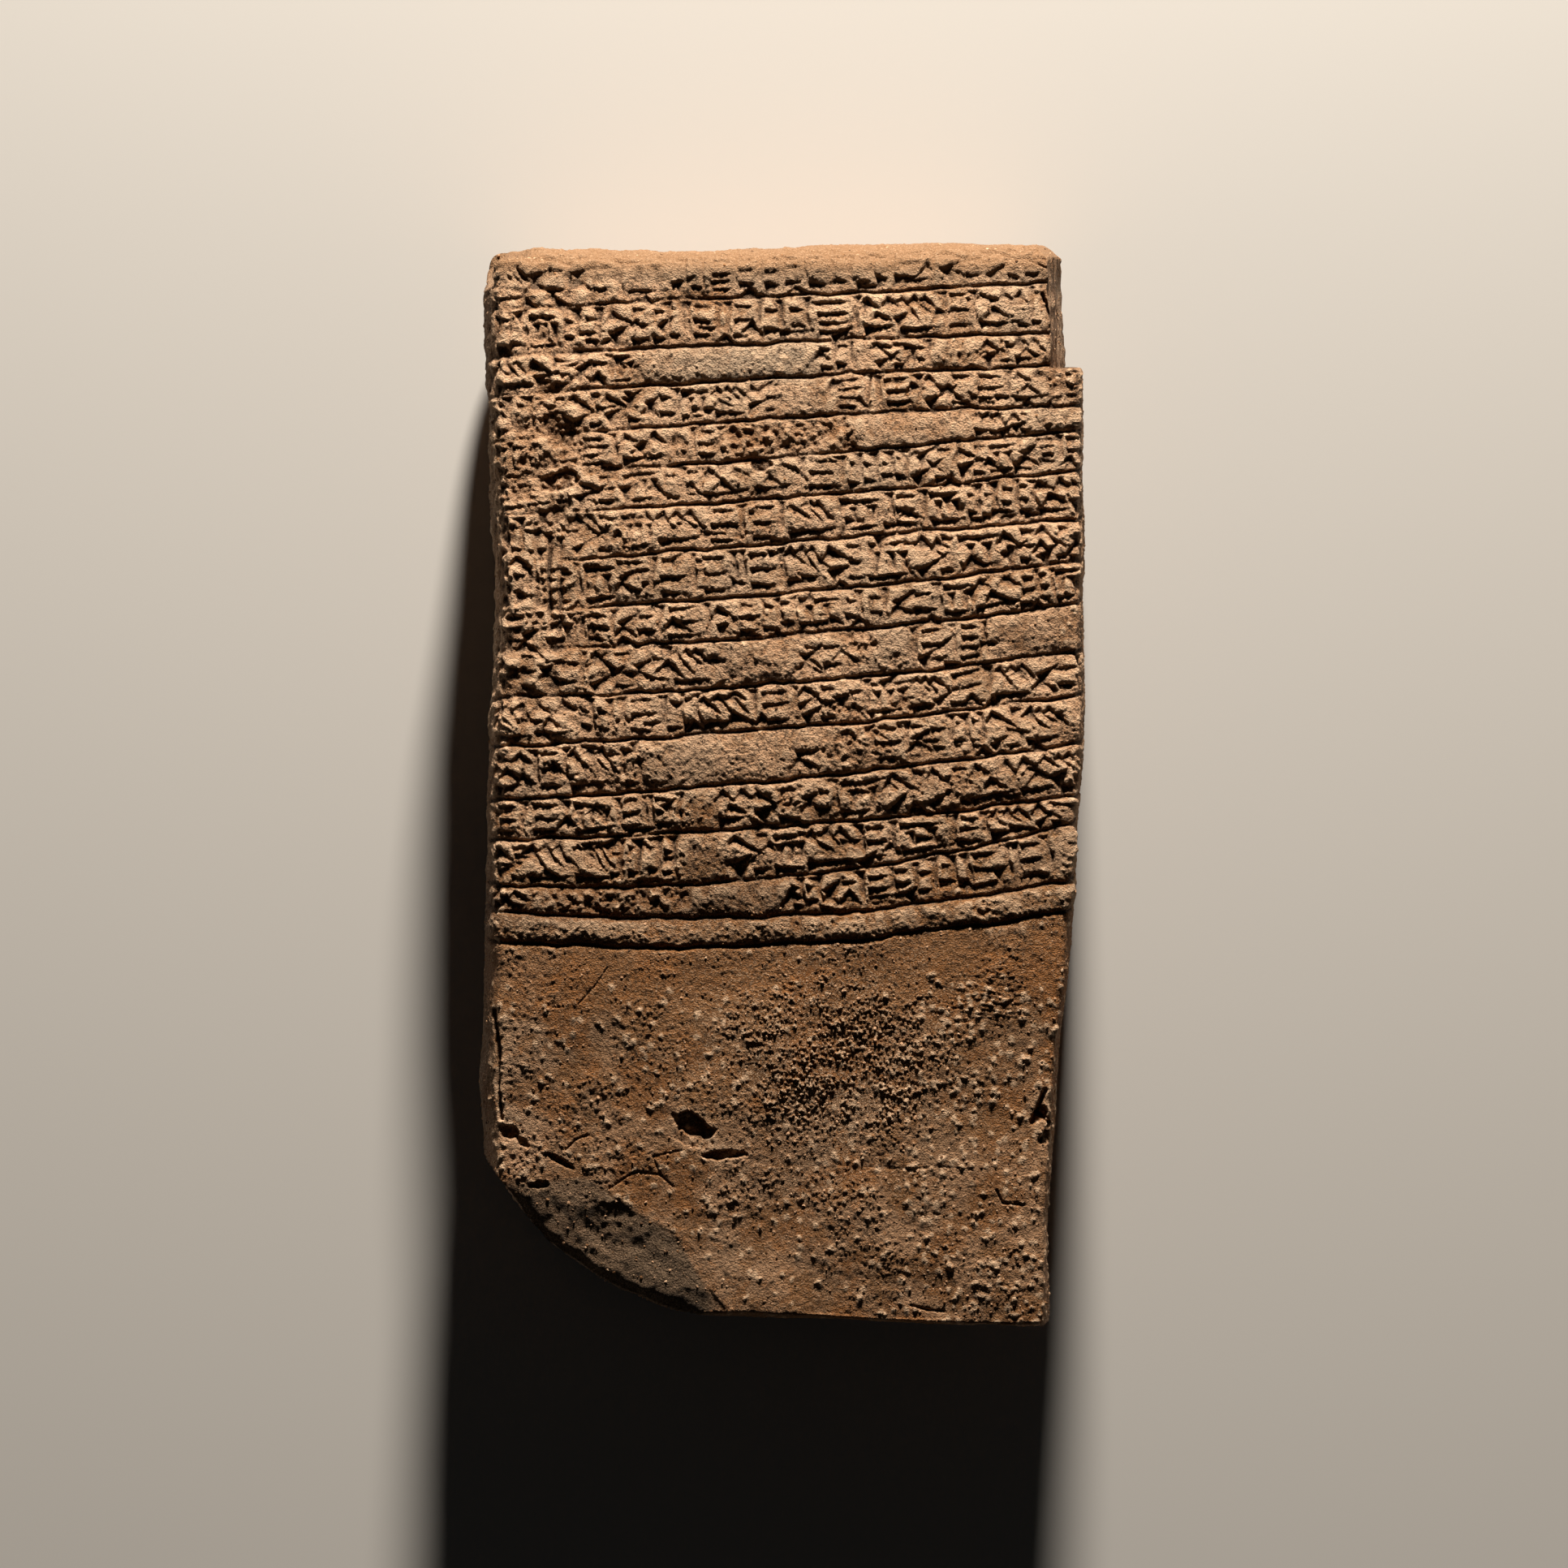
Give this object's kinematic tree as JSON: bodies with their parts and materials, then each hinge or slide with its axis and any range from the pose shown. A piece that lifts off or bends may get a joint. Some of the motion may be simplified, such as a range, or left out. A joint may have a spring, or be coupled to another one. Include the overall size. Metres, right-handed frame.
{
  "type": "cuneiform tablet",
  "caption": "Pillow-shaped clay tablet with ruled rows of pressed wedge strokes over a blank lower field, one corner broken off.",
  "frame": {"origin": "middle of the tablet's outline, on the surface it lies on", "axes": "+Z out of the inscribed face, +Y towards the top edge of the text, +X to the right of the text"},
  "size_m": [0.066, 0.1194, 0.027],
  "materials": {
    "clay": "dry matte buff-brown clay with brown dirt in the strokes, grey mineral crust and rusty stains"
  },
  "bodies": {
    "root": {"tablet": "clay"}
  },
  "joints": []
}
